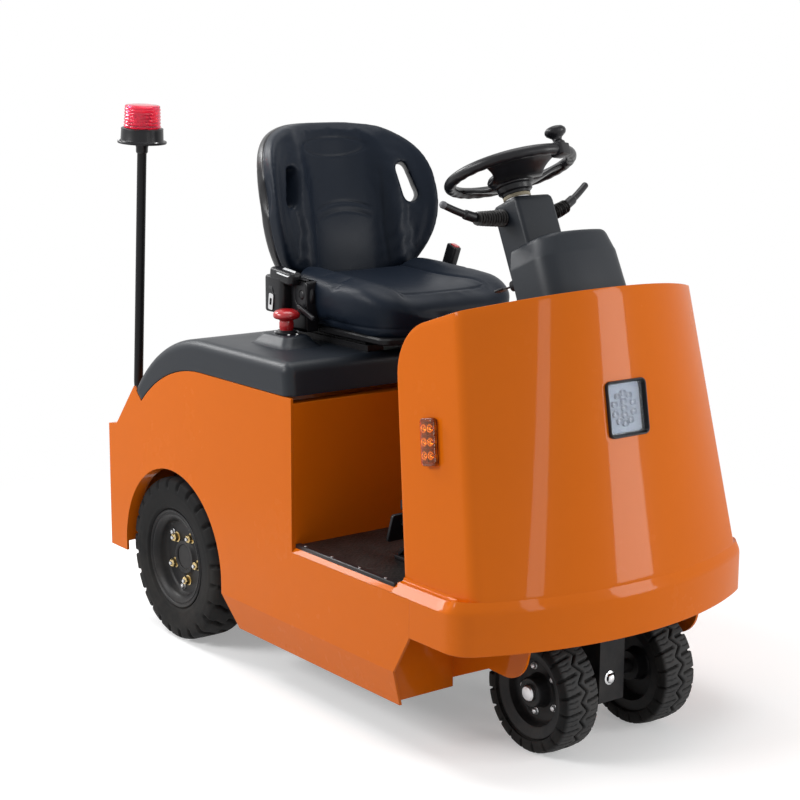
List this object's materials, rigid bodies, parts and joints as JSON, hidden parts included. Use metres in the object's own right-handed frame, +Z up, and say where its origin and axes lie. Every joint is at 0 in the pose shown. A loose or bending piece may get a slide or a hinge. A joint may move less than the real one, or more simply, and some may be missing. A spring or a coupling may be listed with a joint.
{
  "type": "electric tow tractor",
  "caption": "Seated electric tow tractor: low step-through body, hinged hood carrying the seat, curved front cowl with steering column, steered twin front wheel and rear tow jaw.",
  "frame": {"origin": "middle of the bounding box, on the ground", "axes": "+X forward, +Y to the driver's left, +Z up"},
  "size_m": [1.605, 0.812, 1.2892],
  "materials": {
    "orange_paint": "gloss paint",
    "black_metal": "satin paint",
    "battery_case": "matte",
    "black_plastic": "satin",
    "mat_rubber": "ribbed",
    "seat_vinyl": "grained vinyl",
    "red_lens": "clear red",
    "amber_lens": "clear amber",
    "clear_lens": "clear",
    "red_button": "gloss",
    "buckle_plastic": "gloss",
    "bare_steel": "turned",
    "tyre_rubber": "matte"
  },
  "bodies": {
    "chassis": {"side_plate_right": "orange_paint", "side_plate_left": "orange_paint", "bulkhead": "orange_paint", "tail_panel": "orange_paint", "floor_plate": "orange_paint", "front_bumper": "orange_paint", "cowl": "orange_paint", "front_subframe": "orange_paint", "underbody": "black_metal", "rear_axle": "black_metal", "rear_frame": "black_metal", "drive_motor": "black_metal", "tow_hitch": "black_metal", "beacon_pole": "black_metal", "hood_hinge": "black_metal", "battery": "battery_case", "beacon_base": "black_plastic", "steering_column": "black_plastic", "column_console": "black_plastic", "control_levers": "black_plastic", "headlight_housing": "black_plastic", "accelerator_pedal": "black_plastic", "brake_pedal": "black_plastic", "floor_mat": "mat_rubber", "beacon_lens": "red_lens", "signal_lamps": "amber_lens", "headlight_lens": "clear_lens", "steer_bearing": "bare_steel"},
    "hood_lid": {"hood": "black_plastic", "seat_rails": "black_metal", "seat_cushion": "seat_vinyl", "seat_back": "seat_vinyl", "belt_retractor": "black_plastic", "belt_buckle": "buckle_plastic", "emergency_stop": "red_button"},
    "steering_wheel": {"steering_shaft": "bare_steel", "steering_wheel": "black_plastic", "spinner_knob": "black_plastic"},
    "steer_fork": {"steer_fork": "black_metal"},
    "front_wheels": {"front_axle": "bare_steel", "front_tyres": "tyre_rubber", "front_rims": "black_metal"},
    "rear_wheel_right": {"rear_tyre_right": "tyre_rubber", "rear_rim_right": "black_metal"},
    "rear_wheel_left": {"rear_tyre_left": "tyre_rubber", "rear_rim_left": "black_metal"}
  },
  "joints": [
    {"name": "rear_wheel_right_spin", "type": "hinge", "parent": "chassis", "child": "rear_wheel_right", "pos_m": [-0.4025, -0.343, 0.2], "axis": [0, 1, 0], "continuous": true},
    {"name": "rear_wheel_left_spin", "type": "hinge", "parent": "chassis", "child": "rear_wheel_left", "pos_m": [-0.4025, 0.343, 0.2], "axis": [0, 1, 0], "continuous": true},
    {"name": "front_steer", "type": "hinge", "parent": "chassis", "child": "steer_fork", "pos_m": [0.6525, 0, 0.28], "axis": [0, 0, 1], "range_deg": [-70, 70]},
    {"name": "front_wheel_spin", "type": "hinge", "parent": "steer_fork", "child": "front_wheels", "pos_m": [0.6525, 0, 0.127], "axis": [0, 1, 0], "continuous": true},
    {"name": "steering_wheel_turn", "type": "hinge", "parent": "chassis", "child": "steering_wheel", "pos_m": [0.3635, 0, 1.167], "axis": [-0.4067, 0, 0.9135], "range_deg": [-280, 280]},
    {"name": "hood_lift", "type": "hinge", "parent": "chassis", "child": "hood_lid", "pos_m": [-0.5765, 0, 0.604], "axis": [0, -1, 0], "range_deg": [0, 60]}
  ],
  "couplings": [
    {"joint": "steering_wheel_turn", "follows": "front_steer", "ratio": 4}
  ]
}
